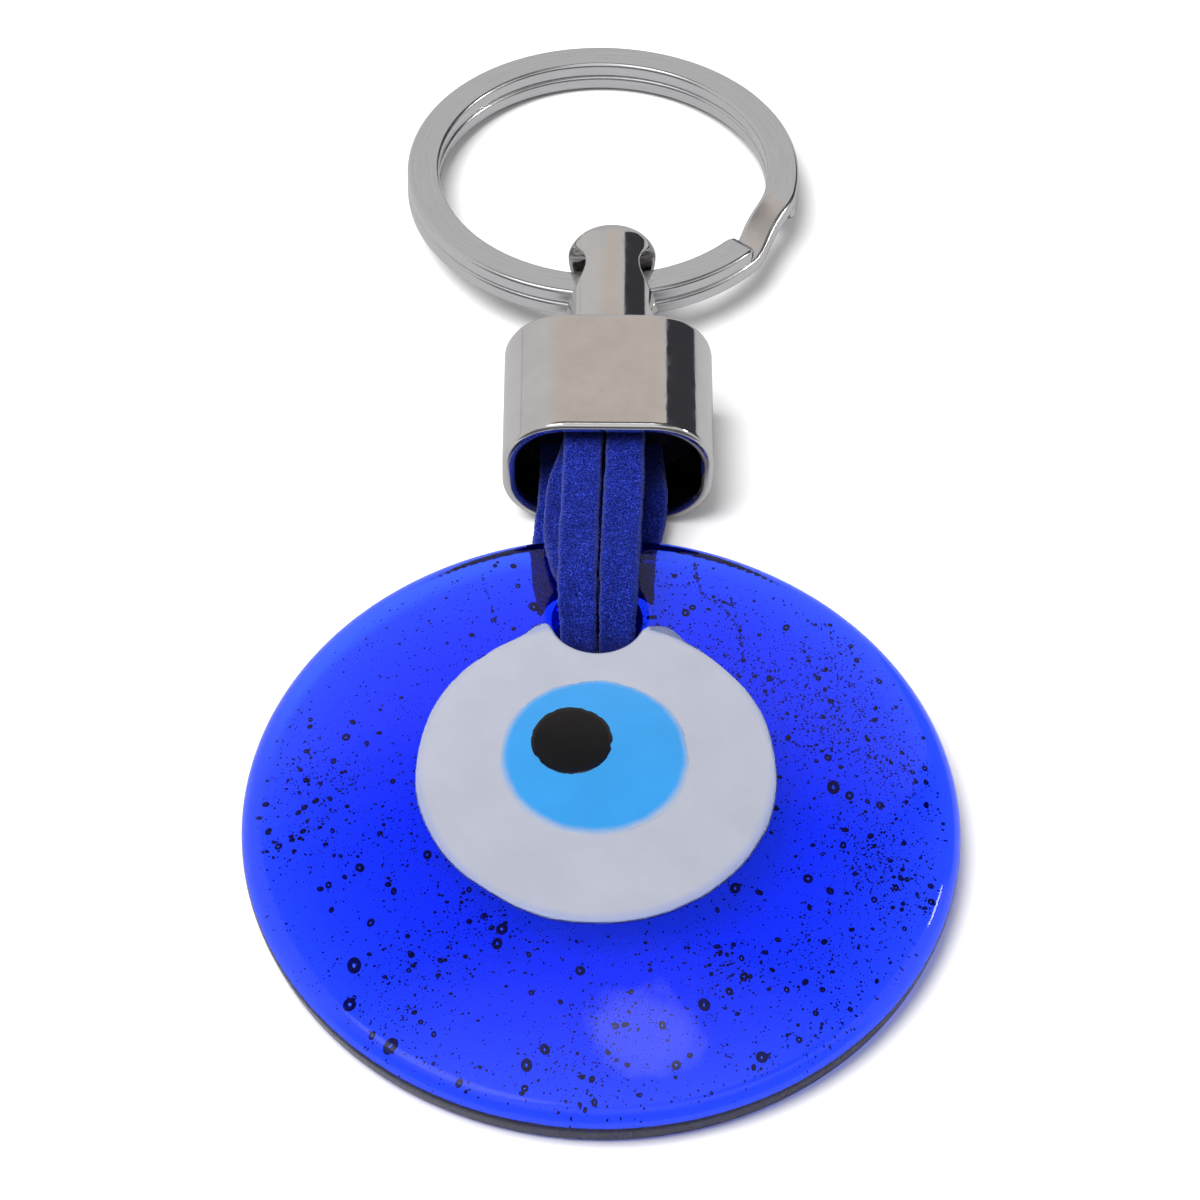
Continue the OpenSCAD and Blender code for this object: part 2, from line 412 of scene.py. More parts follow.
def radial(nt, co, cx, cy):
    """Distance in millimetres from a point of the disc, as seen from above."""
    sep = nt.nodes.new("ShaderNodeSeparateXYZ")
    nt.links.new(co, sep.inputs[0])
    dx = math_node(nt, "SUBTRACT", sep.outputs[0], cx * 0.001)
    dy = math_node(nt, "SUBTRACT", sep.outputs[1], (cy + Y0) * 0.001)
    r = math_node(nt, "SQRT", math_node(nt, "ADD", math_node(nt, "MULTIPLY", dx, dx), math_node(nt, "MULTIPLY", dy, dy)))
    return math_node(nt, "MULTIPLY", r, 1000.0)


def opal(name, inner, edge, centre, r0, r1, wobble=0.35, rough=0.06, sss=0.25):
    m, nt, out = new_material(name)
    co = coords(nt)
    p = node(nt, "ShaderNodeBsdfPrincipled")
    r = radial(nt, co, *centre)
    w = math_node(nt, "MULTIPLY", math_node(nt, "SUBTRACT", noise(nt, co, 900, 4.0, 0.6), 0.5), wobble * 2)
    rr = math_node(nt, "ADD", r, w)
    cloud = noise(nt, co, 260, 3.0, 0.55)
    a = mix_color(nt, maprange(nt, cloud, 0.3, 0.7, 0, 1), inner, tuple(min(1, c * 0.93) for c in inner))
    col = mix_color(nt, maprange(nt, rr, r0, r1, 0, 1, True), a, edge)
    nt.links.new(col, p.inputs["Base Color"])
    p.inputs["Roughness"].default_value = rough
    p.inputs["IOR"].default_value = 1.5
    if sss:
        p.inputs["Subsurface Weight"].default_value = sss
        p.inputs["Subsurface Radius"].default_value = (0.6, 0.8, 1.0)
        p.inputs["Subsurface Scale"].default_value = 0.0008
    n1 = bump(nt, noise(nt, co, 300, 2.0, 0.5), 1.0, 12e-6)
    n2 = bump(nt, noise(nt, co, 3000, 3.0, 0.6), 1.0, 0.5e-6, n1)
    nt.links.new(n2, p.inputs["Normal"])
    nt.links.new(p.outputs[0], out.inputs["Surface"])
    return m


def suede(name, dark, light):
    m, nt, out = new_material(name)
    co = coords(nt)
    p = node(nt, "ShaderNodeBsdfPrincipled")
    speck = noise(nt, co, 8800, 3.0, 0.7)
    nap = noise(nt, co, 900, 3.0, 0.6, stretch=(1.0, 0.6, 1.0))
    a = ramp(nt, speck, [(0.36, tuple(c * 0.12 for c in dark)), (0.47, dark), (0.56, light), (0.68, tuple(min(1, c * 2.1 + 0.025) for c in light))])
    col = mix_color(nt, maprange(nt, nap, 0.35, 0.7, 0.0, 0.45), a, tuple(c * 0.6 for c in dark))
    nt.links.new(col, p.inputs["Base Color"])
    p.inputs["Roughness"].default_value = 0.95
    p.inputs["Specular IOR Level"].default_value = 0.15
    p.inputs["Sheen Weight"].default_value = 0.35
    p.inputs["Sheen Roughness"].default_value = 0.45
    p.inputs["Sheen Tint"].default_value = (0.35, 0.42, 1.0, 1)
    n1 = bump(nt, nap, 1.0, 60e-6)
    n2 = bump(nt, speck, 1.0, 95e-6, n1)
    nt.links.new(n2, p.inputs["Normal"])
    nt.links.new(p.outputs[0], out.inputs["Surface"])
    return m


def glue():
    m, nt, out = new_material("glue")
    co = coords(nt)
    p = node(nt, "ShaderNodeBsdfPrincipled")
    n = noise(nt, co, 900, 4.0)
    nt.links.new(ramp(nt, n, [(0.3, (0.012, 0.013, 0.03)), (0.7, (0.03, 0.03, 0.05))]), p.inputs["Base Color"])
    p.inputs["Roughness"].default_value = 0.35
    nt.links.new(bump(nt, n, 1.0, 80e-6), p.inputs["Normal"])
    nt.links.new(p.outputs[0], out.inputs["Surface"])
    return m


# ---------------------------------------------------------------- end cap
cap_wave = Waves(3, 3.2)


def rounded_rect(x, z, w, h, r):
    qx, qz = np.abs(x) - (w / 2 - r), np.abs(z) - (h / 2 - r)
    return np.sqrt(np.maximum(qx, 0) ** 2 + np.maximum(qz, 0) ** 2) + np.minimum(np.maximum(qx, qz), 0) - r


def prism(d2, y, y1, y2, re):
    dy = np.abs(y - (y1 + y2) / 2) - (y2 - y1) / 2
    a, b = d2 + re, dy + re
    return np.minimum(np.maximum(a, b), 0) + np.sqrt(np.maximum(a, 0) ** 2 + np.maximum(b, 0) ** 2) - re


def cap_sdf(x, y, z):
    x = x - CAP_X
    zz = z - MID_Z
    outer = prism(rounded_rect(x, zz, CAP_W, CAP_H, CAP_R), y, CAP_Y, CAP_FAR, 0.45)
    t = np.maximum(y - (CAP_FAR + POST_L), 0) * (POST_R / DOME)
    rho = np.sqrt((x - 0.3) ** 2 + zz ** 2 + t ** 2) - POST_R
    post = np.maximum(rho, (CAP_FAR - 0.6) - y)
    body = smin(outer, post, 0.45)
    inner = prism(rounded_rect(x, zz, CAP_W - 2 * WALL, CAP_H - 2 * WALL, CAP_R - WALL), y, CAP_Y - 3, CAP_FAR - CAP_END, 0.3)
    body = smax(body, -inner, 0.75)
    bore = np.sqrt((y - HOLE_Y) ** 2 + (z - HOLE_Z) ** 2) - (HOLE_R - 0.03)
    body = smax(body, -bore, 0.4)
    return body


h_cap = 0.15
v, q, n = surface_nets(cap_sdf, (CAP_X - CAP_W / 2 - 0.5, CAP_Y - 0.6, -0.6), (CAP_X + CAP_W / 2 + 0.5, CAP_FAR + POST_L + DOME + 0.6, CAP_H + 0.6), h_cap)
cap = make_object("end_cap_cast", place(v), q, n)
cap.data.materials.append(metal("cap_nickel", (0.74, 0.725, 0.715), 0.05, 7.0, 1.1))
mid = v[q].mean(axis=1)
# painted shade: faces inside the cup's hollow get a dark copy of the nickel (0.16 instead of 0.74), standing in for
# the shade in there
inside = (rounded_rect(mid[:, 0] - CAP_X, mid[:, 2] - MID_Z, CAP_W - 2 * WALL + 0.25, CAP_H - 2 * WALL + 0.25, CAP_R - WALL) < 0) & (mid[:, 1] > CAP_Y + 0.28) & (mid[:, 1] < CAP_FAR - CAP_END + 0.3)
cap.data.materials.append(metal("cap_inside_painted_shade", (0.16, 0.155, 0.16), 0.16, 9.0, 1.0))
cap.data.polygons.foreach_set("material_index", inside.astype(int).tolist())
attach(cap, "cap")
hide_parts("end_cap")

# ---------------------------------------------------------------- split ring
WIRE_W, WIRE_T, GAP, RING_LEAN = 2.52, 1.25, 0.05, math.radians(6.6)
RING_R = (ring_hi[0] - ring_lo[0]) * 500
RING_MID = RING_R - WIRE_W / 2
UP = (WIRE_T + GAP) / 2
RING_HALF = WIRE_T + GAP / 2
RING_Z = math.sin(RING_LEAN) * (RING_R - 0.12) + math.cos(RING_LEAN) * (RING_HALF - 0.12) + 0.091
RING_Y = HOLE_Y - 0.3 + RING_MID * math.cos(RING_LEAN)


def wire_outline():
    """Rounded flat wire section with flat faces (the crown term is set to zero), anticlockwise from the outer side.
    """
    pts = []
    w, t, r = WIRE_W / 2, WIRE_T / 2, 0.34
    for sx, sz, a0 in ((1, 1, 0), (-1, 1, 90), (-1, -1, 180), (1, -1, 270)):
        for a in (0, 15, 30, 45, 60, 75, 90):
            b = math.radians(a0 + a)
            pts.append((sx * (w - r) + r * math.cos(b), sz * (t - r) + r * math.sin(b)))
        if a0 in (0, 180):
            s = -1 if a0 == 0 else 1
            for f in (0.98, 0.6, 0.2, -0.2, -0.6, -0.98):
                pts.append((-s * f * (w - r), sz * (t + 0.0 * (1 - f * f))))
    return np.array(pts)


def split_ring():
    sec = wire_outline()
    ns = len(sec)
    start, ramp0, ramp1, end = -40.4, -372.0, -400.0, -733.0
    ang = [start]
    while ang[-1] > end:
        ang.append(max(end, ang[-1] - 2.0))
    ang = np.array(ang)
    w1 = Waves(21, 60, 8)
    verts, uvs = [], []
    for i, a in enumerate(ang):
        t = min(1, max(0, (ramp0 - a) / (ramp0 - ramp1)))
        z = UP * math.cos(math.pi * t)
        bulge = -0.42 * math.sin(math.pi * t) ** 2
        wob = 0.018 * float(w1(a, 0, 0))
        roll = 0.30 * math.sin(math.pi * t) * 0.35
        ca, sa = math.cos(math.radians(a)), math.sin(math.radians(a))
        k = 1.0
        if i == 0 or i == len(ang) - 1:
            k = 0.86
        elif i == 1 or i == len(ang) - 2:
            k = 0.985
        for u, w in sec:
            uu = u * k * math.cos(roll) - w * k * math.sin(roll)
            ww = u * k * math.sin(roll) + w * k * math.cos(roll)
            r = RING_MID + uu + bulge + wob * 0.5
            verts.append((r * ca, r * sa, z + ww + wob * 0.15))
    # the blunt ends are close to the last ring of points
    n = len(ang)
    verts = np.array(verts)
    for i, j in ((1, 0), (n - 2, n - 1)):
        a, b = ang[i], ang[j]
        s = math.copysign(1.86, a - b)
        rot = math.radians(s)
        blk = verts[i * ns:(i + 1) * ns]
        c, sn = math.cos(rot), math.sin(rot)
        verts[i * ns:(i + 1) * ns] = np.stack([blk[:, 0] * 1, blk[:, 1] * 1, blk[:, 2]], 1)
    faces = []
    for i in range(n - 1):
        for j in range(ns):
            faces.append((i * ns + j, i * ns + (j + 1) % ns, (i + 1) * ns + (j + 1) % ns, (i + 1) * ns + j))
    faces.append(tuple(range(ns))[::-1])
    faces.append(tuple((n - 1) * ns + j for j in range(ns)))
    ca, sa = math.cos(-RING_LEAN), math.sin(-RING_LEAN)
    p = np.stack([verts[:, 0], RING_Y + verts[:, 1] * ca - verts[:, 2] * sa, RING_Z + verts[:, 1] * sa + verts[:, 2] * ca], 1)
    ob = make_object("split_ring_wire", place(p), faces)
    me = ob.data
    uv = me.uv_layers.new(name="wire")
    k = 0
    data = np.zeros(len(me.loops) * 2)
    for f in me.polygons:
        for li, vi in zip(f.loop_indices, f.vertices):
            i, j = divmod(vi, ns)
            jj = j
            if len(f.vertices) == 4 and j == 0 and max(x % ns for x in f.vertices) == ns - 1:
                jj = ns
            data[2 * li] = ang[i] / 360 * 2 * math.pi * RING_MID / 10
            data[2 * li + 1] = jj / ns
    uv.data.foreach_set("uv", data)
    return ob


ring = split_ring()
ring.data.materials.append(ring_metal())
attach(ring, "ring")
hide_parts("split_ring")

# ---------------------------------------------------------------- glass
glass_wave = Waves(11, 14.0)


OVAL, OVAL_Y = 0.969, 0.085     # the disc is a little shorter along Y than across


def disc_sdf(x, y, z):
    yy, y = y, (y - OVAL_Y) / OVAL
    rho = np.sqrt(x ** 2 + y ** 2)
    top = dome_z(np.minimum(rho, DOME_A + 0.6) ** 2) + 0.012 * glass_wave(x, y, 0)
    r = np.where(z > top / 2, 1.4, 0.5)
    side = DISC_R - 0.36 * np.clip(1 - z / 1.9, 0, 1) ** 1.3
    q1, q2 = rho - side + r, np.abs(z - top / 2) - top / 2 + r
    d = np.minimum(np.maximum(q1, q2), 0) + np.sqrt(np.maximum(q1, 0) ** 2 + np.maximum(q2, 0) ** 2) - r
    bore = np.sqrt((x - EYE_X) ** 2 + (yy - EYE_HOLE_Y) ** 2) - (EYE_HOLE_R - 0.02)
    return smax(d, -bore, 0.9)


h_glass = 0.28
v, q, n = surface_nets(disc_sdf, (-DISC_R - 0.8, -DISC_R - 0.8, -0.8), (DISC_R + 0.8, DISC_R + 0.8, MID_T + 0.9), h_glass)


def icosphere(sub):
    import bmesh
    bm = bmesh.new()
    bmesh.ops.create_icosphere(bm, subdivisions=sub, radius=1.0)
    vs = np.array([p.co[:] for p in bm.verts])
    fs = np.array([[p.index for p in f.verts] for f in bm.faces])
    bm.free()
    return vs, fs


# bubbles: x, y, radius and stretch, seen from the front, then seeded small ones
BIG = [(-16.6, -12.2, 0.55), (-16.8, -14.9, 0.5), (-13.9, -17.9, 0.5), (-15.6, -9.0, 0.3), (-16.5, -4.8, 0.36), (-18.6, -5.9, 0.26),
       (-11.9, -3.6, 0.34), (-17.9, 6.0, 0.34), (-18.7, 4.0, 0.24), (-22.2, -2.8, 0.28), (16.1, 2.3, 0.52), (17.2, 1.6, 0.36),
       (13.2, 16.0, 0.3), (15.8, 4.6, 0.3), (19.3, 0.9, 0.32), (9.1, -6.3, 0.42), (14.1, -5.5, 0.4), (15.6, -6.2, 0.3), (18.6, -6.9, 0.26),
       (22.5, -6.7, 0.26), (9.6, -13.0, 0.32), (8.6, -14.0, 0.3), (6.9, -15.1, 0.46), (10.7, -18.8, 0.46), (1.0, -16.9, 0.26),
       (4.1, -16.9, 0.3), (-3.7, -18.4, 0.38), (-4.9, -19.6, 0.44), (5.0, -19.7, 0.36), (-0.4, -22.1, 0.26), (-4.9, 17.3, 0.42),
       (-6.7, -9.8, 0.45), (-7.0, -10.6, 0.4), (-1.4, -12.9, 0.4), (-5.0, -21.3, 0.3), (-9.3, -20.8, 0.28), (-11.1, -17.3, 0.22),
       (-12.0, -16.3, 0.22), (-12.9, -12.8, 0.2), (13.2, -17.5, 0.26), (16.7, -15.1, 0.2), (20.6, -8.9, 0.2), (22.6, 4.1, 0.24),
       (20.8, 9.4, 0.2), (17.8, 14.6, 0.22), (-21.0, 3.5, 0.2), (-20.5, 7.8, 0.2), (-18.8, 0.9, 0.2), (2.6, -21.8, 0.2), (-2.7, -15.0, 0.2),
       (6.0, 16.9, 0.34), (6.5, 17.5, 0.3), (-7.8, 16.2, 0.22)]


def bubble_list():
    r = np.random.default_rng(5)
    out = []
    for x, y, rad in BIG:
        st = r.uniform(1.0, 1.35)
        out.append((x, y, r.uniform(0.55, 0.8), rad * 0.88, st, r.uniform(-0.8, 0.8)))
    n_mid, n_small = ((420, 7600))
    for line, count in ((((6.7, 21.6), (7.1, 18.9), (8.9, 17.2), (9.8, 15.6), (10.0, 13.0)), 130), (((-8.7, 20.3), (-8.1, 18.0), (-7.5, 15.8)), 34),
                        (((2.9, 18.3), (4.2, 19.4), (6.4, 19.6)), 26), (((8.3, 18.3), (9.4, 17.6), (9.2, 18.4)), 60)):
        pts = np.array(line)
        for k in range(count):
            i = r.integers(len(pts) - 1)
            q = pts[i] + (pts[i + 1] - pts[i]) * r.random() + r.normal(0, 0.07, 2)
            out.append((q[0], q[1], 0.7 + r.normal(0, 0.05), r.uniform(0.035, 0.075), r.uniform(1, 2.4), r.uniform(0, 3.1)))
    clumps = np.concatenate([r.uniform(-22, 22, (24, 2)), [(19, 8), (20, 3), (16, 13), (18, -3), (-14, -15), (-12, -12), (8, -12), (-20, -2), (20, -6)]])
    tries = 0
    while n_mid + n_small > 0 and tries < 40000:
        tries += 1
        if r.random() < 0.55:
            c = clumps[r.integers(len(clumps))]
            x, y = c + r.normal(0, 2.0, 2)
        else:
            a, s = r.uniform(0, 2 * np.pi), 24.2 * math.sqrt(r.random())
            x, y = s * math.cos(a), s * math.sin(a)
        if x * x + (y / OVAL) ** 2 > 23.7 ** 2 or math.hypot(x - EYE_X, y - EYE_HOLE_Y) < EYE_HOLE_R + 0.7:
            continue
        if math.hypot(x - EYE_X, y - 2.7) < 11.6:
            continue
        if x < 4 and r.random() < 0.25:
            continue
        if n_mid > 0:
            out.append((x, y, r.uniform(0.15, 0.85), 0.09 + 0.13 * r.random() ** 2, r.uniform(1, 1.5), r.uniform(0, 3.1)))
            n_mid -= 1
        else:
            out.append((x, y, r.uniform(0.15, 0.92), 0.032 + 0.058 * r.random() ** 2.5, r.uniform(1, 1.7), r.uniform(0, 3.1)))
            n_small -= 1
    return out


def add_bubbles(v, q, n):
    polys = [tuple(f) for f in q]
    painted_shade_belt = [0] * len(polys)
    axis = np.array([0.0, -0.41, 0.91])
    vs, ns = [v], [n]
    base = len(v)
    ico = {s: icosphere(s) for s in (1, 2, 3)}
    for x, y, f, rad, st, rot in bubble_list():
        top = float(dome_z(x * x + y * y))
        rr = math.hypot(x, y / OVAL)
        lo = rad + 0.15 + max(0, rr - 23.4) * 0.6
        hi = top - rad - 0.15 - max(0, rr - 23.4) * 0.6
        z = lo + (hi - lo) * f if hi > lo else top / 2
        s, fs = ico[3 if rad > 0.28 else 2 if rad > 0.09 else 1]
        p = s * np.array([rad, rad * st, rad * 0.85])
        c, sn = math.cos(rot), math.sin(rot)
        p = np.stack([p[:, 0] * c - p[:, 1] * sn, p[:, 0] * sn + p[:, 1] * c, p[:, 2]], 1)
        nn = s / np.array([rad, rad * st, rad * 0.85])
        nn = np.stack([nn[:, 0] * c - nn[:, 1] * sn, nn[:, 0] * sn + nn[:, 1] * c, nn[:, 2]], 1)
        nn /= np.linalg.norm(nn, axis=1, keepdims=True)
        vs.append(p + np.array([x, y, z]))
        ns.append(-nn)
        polys += [(int(a) + base, int(cc) + base, int(b) + base) for a, b, cc in fs]
        # bigger bubbles: faces turned more than about 26 degrees from a fixed axis toward the camera side get the
        # painted dark wall, a painted dark outline; tiny bubbles are painted dark all over
        if rad > 0.085:
            mid = s[fs].mean(axis=1)
            painted_shade_belt += [int(k) for k in (np.abs(mid @ axis) / np.linalg.norm(mid, axis=1) < 0.90)]
        else:
            painted_shade_belt += [1] * len(fs)
        base += len(s)
    return np.concatenate(vs), polys, np.concatenate(ns), painted_shade_belt


v, polys, n, painted_shade_belt = add_bubbles(v, q, n)
rotm = np.array([[1, 0, 0], [0, math.cos(LEAN), -math.sin(LEAN)], [0, math.sin(LEAN), math.cos(LEAN)]])
blue = make_object("blue_glass_disc", place(lean(v)), polys, n @ rotm.T)
blue.data.materials.append(cobalt())
# second material: painted shade, the dark bubble walls
blue.data.materials.append(bubble_painted_shade_wall())
blue.data.polygons.foreach_set("material_index", painted_shade_belt)
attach(blue, "disc")
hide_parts("blue_glass")


LOBES = [(-4.1, 14.2, 0.85), (4.1, 13.9, 1.15)]


def layer_sdf(cx, cy, rad, rise, depth, edge_noise, hole=False, soft=0.5, sink=0.06, sink_w=0.3):
    def fn(x, y, z):
        dx, dy = x - cx, y - cy
        rho = np.sqrt(dx * dx + dy * dy)
        out = rho - rad
        if hole:
            for lx, ly, lr in LOBES:
                out = smin(out, np.sqrt((x - lx) ** 2 + (y - ly) ** 2) - lr, 1.1)
        for w, a in edge_noise:
            out = out + a * w(dx, dy, 0)
        k = np.clip((rho - rad + sink_w) / sink_w, 0, 1)
        top = dome_z(x * x + ((y - OVAL_Y) / OVAL) ** 2) + rise - sink * k * k
        thick = depth * np.clip(-out / (0.45 * rad) + 0.30, 0.30, 1) ** 0.6
        s = smax(z - top, top - thick - z, 0.1)
        s = smax(s, out, soft)
        if hole:
            bore = np.sqrt((x - EYE_X) ** 2 + (y - EYE_HOLE_Y) ** 2) - (EYE_HOLE_R + 0.12)
            s = smax(s, -bore, 0.5)
        return s
    return fn


def glass_layer(name, replaces, mat, cx, cy, rad, rise, depth, edge_noise, h, hole=False, soft=0.5, sink=0.06, sink_w=0.3):
    fn = layer_sdf(cx, cy, rad, rise, depth, edge_noise, hole, soft, sink, sink_w)
    v, q, n = surface_nets(fn, (cx - rad - 0.9, cy - rad - 0.9, MID_T - depth - 1.6), (cx + rad + 0.9, cy + rad + 0.9, MID_T + 0.7), h)
    ob = make_object(name, place(lean(v)), q, n @ rotm.T)
    ob.data.materials.append(mat)
    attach(ob, "disc")
    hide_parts(replaces)
    return ob


hk = 1.0
glass_layer("white_glass_layer", "white_glass",
            opal("white_glass", (0.350, 0.366, 0.432), (0.235, 0.275, 0.46), (EYE_X - 0.05, 2.7), 11.9, 12.75, 0.15),
            EYE_X - 0.05, 2.7, 12.63, 0.055, 1.0, [(Waves(31, 9.0), 0.10), (Waves(32, 2.2), 0.025)], 0.20 * hk, hole=True, soft=0.12)
glass_layer("light_blue_glass_layer", "light_blue_glass",
            opal("light_blue_glass", (0.034, 0.255, 0.59), (0.33, 0.36, 0.44), (EYE_X - 0.15, 3.35), 5.95, 6.8, 0.16),
            EYE_X - 0.15, 3.35, 6.68, 0.085, 0.7, [(Waves(41, 4.0), 0.09), (Waves(42, 1.3), 0.04)], 0.16 * hk, soft=0.1, sink=0.03, sink_w=0.6)
glass_layer("black_glass_layer", "black_glass",
            opal("black_glass", (0.002, 0.002, 0.003), (0.003, 0.005, 0.012), (-2.1, 4.7), 2.4, 2.9, 0.3, 0.12, 0.0),
            -2.1, 4.7, 2.95, 0.115, 0.5, [(Waves(51, 2.4), 0.07), (Waves(52, 0.75), 0.085), (Waves(53, 0.36), 0.035)], 0.09 * hk, soft=0.12, sink=0.05, sink_w=0.4)

# ---------------------------------------------------------------- straps
STRAP_T = 1.3


def spline(points, n):
    p = np.array(points, float)
    seg = np.linalg.norm(np.diff(p[:, :3], axis=0), axis=1)
    t = np.concatenate([[0], np.cumsum(seg)])
    m = len(p)
    # centripetal-like tangents on the chord parameter
    d = np.zeros_like(p)
    for i in range(m):
        a, b = max(i - 1, 0), min(i + 1, m - 1)
        d[i] = (p[b] - p[a]) / (t[b] - t[a])
    s = np.linspace(0, t[-1], n)
    k = np.clip(np.searchsorted(t, s, side="right") - 1, 0, m - 2)
    h = (t[k + 1] - t[k])[:, None]
    u = ((s - t[k]) / (t[k + 1] - t[k]))[:, None]
    return ((2 * u ** 3 - 3 * u ** 2 + 1) * p[k] + (u ** 3 - 2 * u ** 2 + u) * h * d[k]
            + (-2 * u ** 3 + 3 * u ** 2) * p[k + 1] + (u ** 3 - u ** 2) * h * d[k + 1]), s


def strap(name, route, slot_name, seed):
    """Flat suede lace along route rows of x, y, z, width, roll in degrees and cup."""
    n = 560
    path, s = spline(route, n)
    c = path[:, :3]
    wdt, roll, cup = path[:, 3], np.radians(path[:, 4]), path[:, 5]
    tan = np.gradient(c, axis=0)
    tan /= np.linalg.norm(tan, axis=1, keepdims=True)
    side = np.tile(np.array([1.0, 0, 0]), (n, 1))
    side -= (side * tan).sum(1, keepdims=True) * tan
    side /= np.linalg.norm(side, axis=1, keepdims=True)
    up = np.cross(side, tan)
    cr, sr = np.cos(roll)[:, None], np.sin(roll)[:, None]
    s2 = side * cr + up * sr
    u2 = -side * sr + up * cr
    # section: rounded flat, finer along the edges
    us = np.concatenate([[-1.0, -0.97, -0.9], np.linspace(-0.8, 0.8, 21), [0.9, 0.97, 1.0]])
    sec = []
    e = 0.30
    for k in us:
        f = max(0, (abs(k) - (1 - e)) / e)
        sec.append((k, math.sqrt(max(0, 1 - f ** 2.6)) * 0.5))
    top = [(a, b) for a, b in sec if b > 1e-6]
    loop = [(-1.0, 0.0)] + top + [(1.0, 0.0)] + [(a, -b) for a, b in reversed(top)]
    ns = len(loop)
    fuzz, fuzz2 = Waves(seed, 0.5, 20), Waves(seed + 1, 2.4, 12)
    rough = np.random.default_rng(seed).normal(0, 1, (len(loop), n))
    verts = np.zeros((n, ns, 3))
    for j, (a, b) in enumerate(loop):
        off = a * wdt[:, None] / 2 * s2 + b * STRAP_T * u2
        p = c + off + (cup * (a * a))[:, None] * u2
        f1 = fuzz(p[:, 0], p[:, 1] + 7 * j * 0, p[:, 2])
        f2 = fuzz2(p[:, 0], p[:, 1], p[:, 2])
        k = 0.016 * f1 + 0.03 * f2 + (0.028 if abs(a) > 0.93 else 0.012) * rough[j] * 1
        nrm = s2 * (np.sign(a) * (abs(a) > 0.93)) + u2 * np.sign(b)
        verts[:, j] = p + nrm * k[:, None]
    faces = []
    for i in range(n - 1):
        for j in range(ns):
            faces.append((i * ns + j, (i + 1) * ns + j, (i + 1) * ns + (j + 1) % ns, i * ns + (j + 1) % ns))
    faces.append(tuple(range(ns)))
    faces.append(tuple((n - 1) * ns + j for j in range(ns))[::-1])
    v = verts.reshape(-1, 3)
    v[:, 2] = np.maximum(v[:, 2], 0.012)
    ob = make_object(name, place(v), faces)
    return ob, float(s[-1])


# rows: x, y, z, width, roll, cup
XL, XR = -1.75, 1.22
LEFT = [(-1.45, 36.5, 8.5, 2.8, 0, 0), (-1.45, 33, 8.55, 2.8, 0, 0), (-1.45, 30, 8.6, 2.8, 0, 0), (-1.5, 27.5, 8.25, 2.82, 0, 0), (-1.6, 25, 7.85, 2.84, 0, 0.02),
        (-1.7, 22, 7.45, 2.86, 0, 0.03), (-1.78, 19.5, 7.1, 2.86, 0, -0.02), (-1.8, 17.6, 6.55, 2.8, 1, -0.1), (-1.76, 16.2, 5.7, 2.7, 2, -0.25),
        (-1.72, 15.2, 4.5, 2.6, 3, -0.35), (-1.72, 14.9, 3.2, 2.55, 3, -0.35), (-1.9, 15.1, 2.0, 2.6, 0, -0.25), (-2.3, 15.9, 1.1, 2.7, 0, -0.1),
        (-2.9, 17.6, 0.72, 2.8, 0, 0), (-3.5, 20.5, 0.7, 2.8, 0, 0), (-3.75, 23.6, 0.72, 2.8, 0, 0), (-3.75, 25.4, 1.0, 2.8, 0, 0),
        (-3.6, 27.2, 1.9, 2.8, 0, 0), (-3.4, 28.8, 2.7, 2.8, 0, 0), (-3.3, 31, 2.9, 2.8, 0, 0), (-3.3, 36.5, 2.9, 2.8, 0, 0)]
RIGHT = [(1.65, 36.5, 8.5, 2.8, 0, 0), (1.65, 33, 8.55, 2.8, 0, 0), (1.65, 30, 8.6, 2.8, 0, 0), (1.6, 27.5, 8.2, 2.85, 0, 0), (1.5, 25, 7.75, 2.86, -1, 0.02),
         (1.35, 22, 7.2, 2.86, -2, 0.02), (1.25, 19.5, 6.75, 2.84, -3, -0.02), (1.2, 17.6, 6.25, 2.75, -3, -0.1), (1.14, 16.2, 5.45, 2.65, -3, -0.25),
         (1.08, 15.3, 4.3, 2.55, -3, -0.35), (1.06, 15.0, 3.1, 2.5, -3, -0.35), (1.3, 15.2, 1.95, 2.6, 0, -0.25), (1.8, 16.0, 1.05, 2.7, 0, -0.1),
         (2.2, 17.7, 0.72, 2.8, 0, 0), (2.4, 20.5, 0.7, 2.8, 0, 0), (2.55, 23.6, 0.72, 2.8, 0, 0), (2.8, 25.4, 1.1, 2.8, 4, 0),
         (3.3, 27.2, 2.1, 2.8, 8, 0), (3.5, 28.8, 3.0, 2.8, 8, 0), (3.3, 31, 3.0, 2.8, 4, 0), (3.0, 36.5, 2.6, 2.8, 0, 0)]
UNDER = [(-1.2, 36.5, 6.8, 2.8, 0, 0), (-1.3, 33, 6.8, 2.8, 0, 0), (-1.75, 30, 6.75, 2.8, -2, 0), (-2.55, 27.5, 6.5, 2.8, -6, 0), (-2.85, 25, 6.3, 2.8, -8, 0),
         (-2.75, 22, 6.15, 2.8, -8, 0), (-2.3, 19.9, 6.25, 2.8, -6, 0), (-1.75, 18.6, 6.05, 2.7, 0, 0), (-1.3, 17.6, 5.3, 2.6, 0, 0),
         (-1.0, 17.1, 4.3, 2.5, 0, 0), (-0.7, 16.95, 3.2, 2.5, 0, 0), (-0.4, 17.0, 2.2, 2.6, 0, 0), (-0.3, 17.4, 1.3, 2.7, 0, 0),
         (-0.3, 18.6, 0.78, 2.8, 0, 0), (-0.3, 20.5, 0.7, 2.8, 0, 0), (-0.3, 23.6, 0.72, 2.8, 0, 0), (-0.25, 25.4, 1.0, 2.8, 0, 0),
         (-0.2, 27.2, 1.7, 2.8, 0, 0), (-0.2, 28.8, 2.35, 2.8, 0, 0), (-0.1, 31, 2.5, 2.8, 0, 0), (0.0, 36.5, 2.5, 2.8, 0, 0)]

